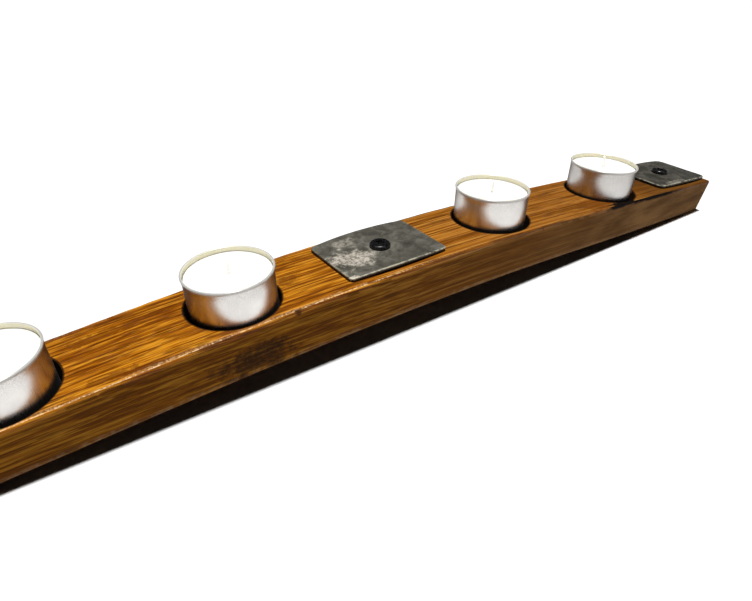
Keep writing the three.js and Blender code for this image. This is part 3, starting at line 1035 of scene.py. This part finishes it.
def screw_profile():
    """Pan head, and a shank down to its point; the thread is added by its radius."""
    corner = 1.2 * MM
    crown = HEAD_HEIGHT - 0.15 * MM
    head = [(0, HEAD_HEIGHT), (HEAD_RADIUS * 0.35, HEAD_HEIGHT - 0.03 * MM)]
    head += arc(HEAD_RADIUS - corner, crown - corner, corner, 88, 8, 8)
    head += [(HEAD_RADIUS, 0.25 * MM), (HEAD_RADIUS - 0.15 * MM, 0.0), (SHANK_RADIUS, 0.0)]
    shank_bottom = GAP - PILOT_DEPTH
    steps = 90
    for i in range(1, steps):
        z = shank_bottom * i / steps
        to_point = min(1.0, (z - shank_bottom) / POINT_LENGTH)
        head.append((max(SHANK_RADIUS * to_point, 0.1 * MM), z))
    head.append((0, shank_bottom))
    return head


def threaded(radius, z, angle):
    """Cuts a thread into the shank below its plain neck."""
    pitch = 1.4 * MM
    if z > -1.5 * MM or radius > SHANK_RADIUS:
        return radius, z
    phase = (z / pitch - angle / (2 * math.pi)) % 1.0
    root = 0.68
    ridge = max(0.0, 1 - abs(phase - 0.5) * 5)
    return radius * (root + (1 - root) * ridge), z


def cross_cutter(place):
    """A tapered cross, 12 points round, for the driver recess."""
    rings = []
    arm = 2.35 * MM
    half = 0.55 * MM
    for z, shrink in ((-1.4 * MM, 0.55), (-0.7 * MM, 0.82), (0.6 * MM, 1.0)):
        a = arm * shrink
        h = half * (0.7 + 0.3 * shrink)
        ring = []
        for quarter in range(4):
            turn = Matrix.Rotation(math.pi / 2 * quarter, 4, "Z")
            for x, y in ((a, -h), (a, h), (h * 1.3, h * 1.3)):
                ring.append(place @ (turn @ Vector((x, y, HEAD_HEIGHT + z))))
        rings.append(ring)
    return loft("cross_cutter", rings)


def make_screw(name, turn, surface):
    place = screw_place(name, PLATE_THICKNESS + GAP)
    place = place @ Matrix.Rotation(math.radians(turn), 4, "Z")
    shaft = turned(f"screw_{name}", screw_profile(), 48, place, threaded)
    mesh = carve(shaft, [cross_cutter(place)])
    back = place.inverted()
    edge = []
    for vertex in mesh.vertices:
        local = back @ vertex.co
        reach = math.hypot(local.x, local.y)
        edge.append(float(local.z > 0 and reach > HEAD_RADIUS * 0.9))
    add_values(mesh, edge=edge)
    piece(f"pan_screw_{name}", mesh, "bar", f"screw_{name}", surface, 40)


def make_hardware():
    rubbed = (in_mm(-16, -2.5, 37), in_mm(14, 10, 30), 0.85)
    scuffed = (in_mm(-10, 12, 37), in_mm(8, 4, 30), 0.45)
    # The pale spot on the burr at the near-left corner is a painted glint.
    burr_glint = (in_mm(-24, -17, 36), in_mm(2.6, 1.6, 30), 1.0)
    centre = hoop_surface("hoop_steel_centre", 1.0, [rubbed, scuffed, burr_glint])
    end_rub = (in_mm(213, -16, 29), in_mm(15, 3, 30), 0.35)
    ends = hoop_surface("hoop_steel_ends", 0.62, [end_rub])
    black = black_screw_surface()
    for name, seed, surface in (("left", 21, ends), ("centre", 25, centre), ("right", 29, ends)):
        make_plate(name, seed, surface)
    for name, turn in (("left", 25), ("centre", 40), ("right", 75)):
        make_screw(name, turn, black)


# ---- Tealights ----


def cup_radius(z):
    return CUP_BASE_RADIUS + (CUP_TOP_RADIUS - CUP_BASE_RADIUS) * z / CUP_HEIGHT


def cup_profile():
    """Outside from the middle of the base, over the curled rim, and down the inside."""
    curl_z = CUP_HEIGHT - RIM_CURL
    curl_radius = RIM_RADIUS - RIM_CURL
    neck = CUP_HEIGHT - 2.2 * RIM_CURL
    pan = 0.35 * MM  # the base is pressed up a little inside its foot ring
    corner = CUP_CORNER
    profile = [(0, pan), (CUP_BASE_RADIUS * 0.5, pan), (CUP_BASE_RADIUS - 3.4 * MM, pan)]
    profile += [(CUP_BASE_RADIUS - 2.6 * MM, 0.0)]
    profile += arc(CUP_BASE_RADIUS - corner, corner, corner, -90, 0, 6)
    flare = neck - 2.5 * MM
    profile += line((cup_radius(corner * 2), corner * 2), (cup_radius(flare), flare), 10)
    profile += line((cup_radius(flare), flare), (RIM_RADIUS - 0.22 * MM, neck), 4)
    profile += arc(curl_radius, curl_z, RIM_CURL, -45, 190, 12)
    inner = cup_radius(neck) - CUP_WALL
    profile += line((inner, neck), (cup_radius(corner) - CUP_WALL, corner), 8)
    profile += arc(CUP_BASE_RADIUS - corner, corner, corner - CUP_WALL, 0, -90, 5)
    profile += [(0, CUP_WALL)]
    return profile


def paint_cup(mesh, back):
    """Stores the wall rolled out flat, and where the cup is rim, neck or inside."""
    unrolled = []
    marks = {name: [] for name in ("rim", "neck", "inside")}
    neck_bottom = CUP_HEIGHT - 8 * MM
    rim_bottom = CUP_HEIGHT - 2.1 * RIM_CURL
    fine_around = 90  # how close together the draw marks are, round the wall and up it
    fine_up = 120
    for vertex in mesh.vertices:
        local = back @ vertex.co
        radius = math.hypot(local.x, local.y)
        around = Vector((local.x, local.y, 0)).normalized() * fine_around
        unrolled.extend((around.x, around.y, local.z * fine_up))
        within = radius < cup_radius(local.z) - CUP_WALL * 0.75 and local.z > CUP_WALL * 0.9
        up = (local.z - neck_bottom) / (rim_bottom - neck_bottom)
        marks["rim"].append(float(local.z > rim_bottom))
        marks["neck"].append(max(0.0, min(1.0, up)))
        marks["inside"].append(float(within and local.z > WAX_TOP - 3 * MM))
    add_places(mesh, "unrolled", unrolled)
    add_values(mesh, **marks)


def make_cup(number, surface):
    stand = cup_stand(number)

    def dented(radius, z, angle):
        """A little out of round, as thin foil is, and always inwards."""
        if radius < CUP_BASE_RADIUS - 2 * MM:
            return radius, z
        up = z / CUP_HEIGHT
        slack = wobble(number * 3, math.cos(angle), math.sin(angle), z * 40, size=0.9)
        loss = 0.07 * (slack + 1) * MM * up
        return radius - loss, z

    mesh = turned(f"cup_{number}", cup_profile(), 128, stand, dented)
    paint_cup(mesh, stand.inverted())
    name = f"tealight_cup_{number}"
    piece(name, mesh, name, f"cup_{number}", surface, 50)


def wax_profile():
    """Ring round the wick: poured top with a raised edge, and a pocket for the tab."""
    bore = WICK_RADIUS + 0.02 * MM
    rim = cup_radius(WAX_TOP) - CUP_WALL - GAP
    base = cup_radius(0) - CUP_WALL - GAP
    pocket_top = FLOOR + TAB_THICKNESS + GAP
    collar = TAB_COLLAR_RADIUS + GAP
    collar_top = FLOOR + TAB_COLLAR_HEIGHT + GAP
    profile = [(bore, collar_top), (collar, collar_top), (collar, pocket_top)]
    profile += [(TAB_RADIUS + GAP, pocket_top), (TAB_RADIUS + GAP, FLOOR)]
    profile += line((TAB_RADIUS + 2 * GAP, FLOOR), (base - CUP_CORNER, FLOOR), 4)
    profile += arc(base - CUP_CORNER, FLOOR + CUP_CORNER, CUP_CORNER, -90, 0, 4)
    profile += line((base, FLOOR + 1.5 * CUP_CORNER), (rim, WAX_TOP - 0.4 * MM), 6)
    profile += [(rim, WAX_TOP - 0.4 * MM), (rim - 0.05 * MM, WAX_TOP)]
    steps = 14
    for i in range(steps + 1):
        share = i / steps
        radius = (rim - 0.5 * MM) * (1 - share) + (bore + 0.9 * MM) * share
        sink = 0.5 * MM * min(1.0, share * 3) ** 0.5
        profile.append((radius, WAX_TOP - sink))
    profile += [(bore + 0.5 * MM, WAX_TOP - 0.35 * MM), (bore, WAX_TOP - 0.2 * MM), (bore, collar_top)]
    return profile


def make_wax(number, surface):
    stand = cup_stand(number)

    def poured(radius, z, angle):
        if z < WAX_TOP - 0.7 * MM:
            return radius, z
        x = radius * math.cos(angle)
        y = radius * math.sin(angle)
        settle = 0.10 * MM * (wobble(number * 11, x, y, size=0.009) - 1)
        return radius, z + settle

    mesh = turned(f"wax_{number}", wax_profile(), 96, stand, poured)
    name = f"candle_wax_{number}"
    piece(name, mesh, f"candle_{number}", f"wax_{number}", surface, 60)


def wick_turn(number):
    """Which way the wick leans: from the cup's axis to the middle of the wick's box top."""
    low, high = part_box(f"wick_{number}")
    tip = Vector(((low.x + high.x) / 2, (low.y + high.y) / 2, high.z))
    local = cup_stand(number).inverted() @ tip
    return math.atan2(local.y, local.x)


def make_wick(number, surface):
    """Three strands plaited round each other along a gently bent route."""
    stand = cup_stand(number)
    lean = wick_turn(number)
    sideways = Vector((math.cos(lean), math.sin(lean), 0))
    bottom = FLOOR + GAP
    top = WAX_TOP + WICK_ABOVE_WAX - 0.25 * MM
    steps = 110
    sides = 30
    strands = 3
    pitch = 5.5 * MM
    rings = []
    for i in range(steps + 1):
        share = i / steps
        z = bottom + (top - bottom) * share
        out = max(0.0, (z - WAX_TOP) / WICK_ABOVE_WAX)
        middle = sideways * (WICK_LEAN * out ** 1.6) + Vector((0, 0, z))
        twist = 2 * math.pi * z / pitch
        end_cap = min(1.0, math.sqrt(max(0.0, min(share, 1 - share)) * 60))
        ring = []
        for j in range(sides):
            angle = 2 * math.pi * j / sides
            lobe = abs(math.sin(strands / 2 * (angle - twist)))
            radius = WICK_RADIUS * (0.70 + 0.26 * lobe) * max(0.12, end_cap)
            ring.append(stand @ (middle + Vector((math.cos(angle), math.sin(angle), 0)) * radius))
        rings.append(ring)
    mesh = loft(f"wick_{number}", rings)
    name = f"cotton_wick_{number}"
    piece(name, mesh, f"candle_{number}", f"wick_{number}", surface, 70)


def make_tab(number, surface):
    """The pressed disc with the collar that grips the wick."""
    stand = cup_stand(number)
    bore = WICK_RADIUS + 0.15 * MM
    disc = FLOOR + TAB_THICKNESS
    tall = FLOOR + TAB_COLLAR_HEIGHT
    lip = 0.12 * MM
    profile = [(bore, FLOOR), (TAB_RADIUS - lip, FLOOR)]
    profile += arc(TAB_RADIUS - lip, FLOOR + lip, lip, -60, 60, 3)
    profile += [(TAB_RADIUS - lip, disc), (TAB_COLLAR_RADIUS + 0.9 * MM, disc)]
    profile += arc(TAB_COLLAR_RADIUS + 0.6 * MM, disc + 0.6 * MM, 0.6 * MM, 270, 180, 4)
    profile += [(TAB_COLLAR_RADIUS - 0.15 * MM, tall - 0.3 * MM), (TAB_COLLAR_RADIUS - 0.4 * MM, tall)]
    profile += [(bore, tall), (bore, FLOOR)]
    mesh = turned(f"tab_{number}", profile, 64, stand)
    name = f"steel_tab_{number}"
    piece(name, mesh, f"candle_{number}", f"wick_tab_{number}", surface, 40)


def make_tealights():
    foil = foil_surface("cup_aluminium", 1.0)
    # Cup 4 at the far end gets a darker copy of the foil: painted shade for the dimmer light it
    # reflects.
    shaded_foil = foil_surface("cup_aluminium_shaded", 0.78)
    wax = wax_surface()
    cotton = cotton_surface()
    tinned = tinned_surface()
    for number in TEALIGHTS:
        make_cup(number, shaded_foil if number == 4 else foil)
        make_wax(number, wax)
        make_wick(number, cotton)
        make_tab(number, tinned)


# ---- Studio ----

LIGHT_STRENGTH = 4.4
LIGHT_SPREAD = math.radians(5)
LIGHT_LEAN = math.radians(3)
BACKDROP_GLOW = 0.005
FLOOR_REACH = 6.0


def make_light():
    """An even light from above that leans a little to the front."""
    data = bpy.data.lights.new("overhead", "SUN")
    data.energy = LIGHT_STRENGTH
    data.angle = LIGHT_SPREAD
    lamp = in_scene("overhead", data)
    lamp.rotation_euler = (LIGHT_LEAN, 0, 0)


def make_surroundings():
    """A white backdrop all round that lights the object only by its faint glow."""
    world = bpy.data.worlds.new("studio")
    world.use_nodes = True
    nodes = world.node_tree.nodes
    links = world.node_tree.links
    background = nodes["Background"]
    background.inputs["Color"].default_value = (1, 1, 1, 1)
    seen = nodes.new("ShaderNodeLightPath")
    strength = nodes.new("ShaderNodeMapRange")
    links.new(seen.outputs["Is Camera Ray"], strength.inputs["Value"])
    strength.inputs["To Min"].default_value = BACKDROP_GLOW
    strength.inputs["To Max"].default_value = 1.0
    links.new(strength.outputs["Result"], background.inputs["Strength"])
    bpy.context.scene.world = world


def make_studio():
    sides = ((-1, -1), (1, -1), (1, 1), (-1, 1))
    corners = [(x * FLOOR_REACH, y * FLOOR_REACH, 0) for x, y in sides]
    mesh = mesh_of("floor", corners, [(0, 1, 2, 3)])
    mesh.materials.append(floor_surface())
    in_scene("floor", mesh)
    make_light()
    make_surroundings()
    view = bpy.context.scene.view_settings
    view.view_transform = "Standard"
    view.look = "None"
    view.exposure = 0.0


make_camera()
make_stave()
make_hardware()
make_tealights()
make_studio()
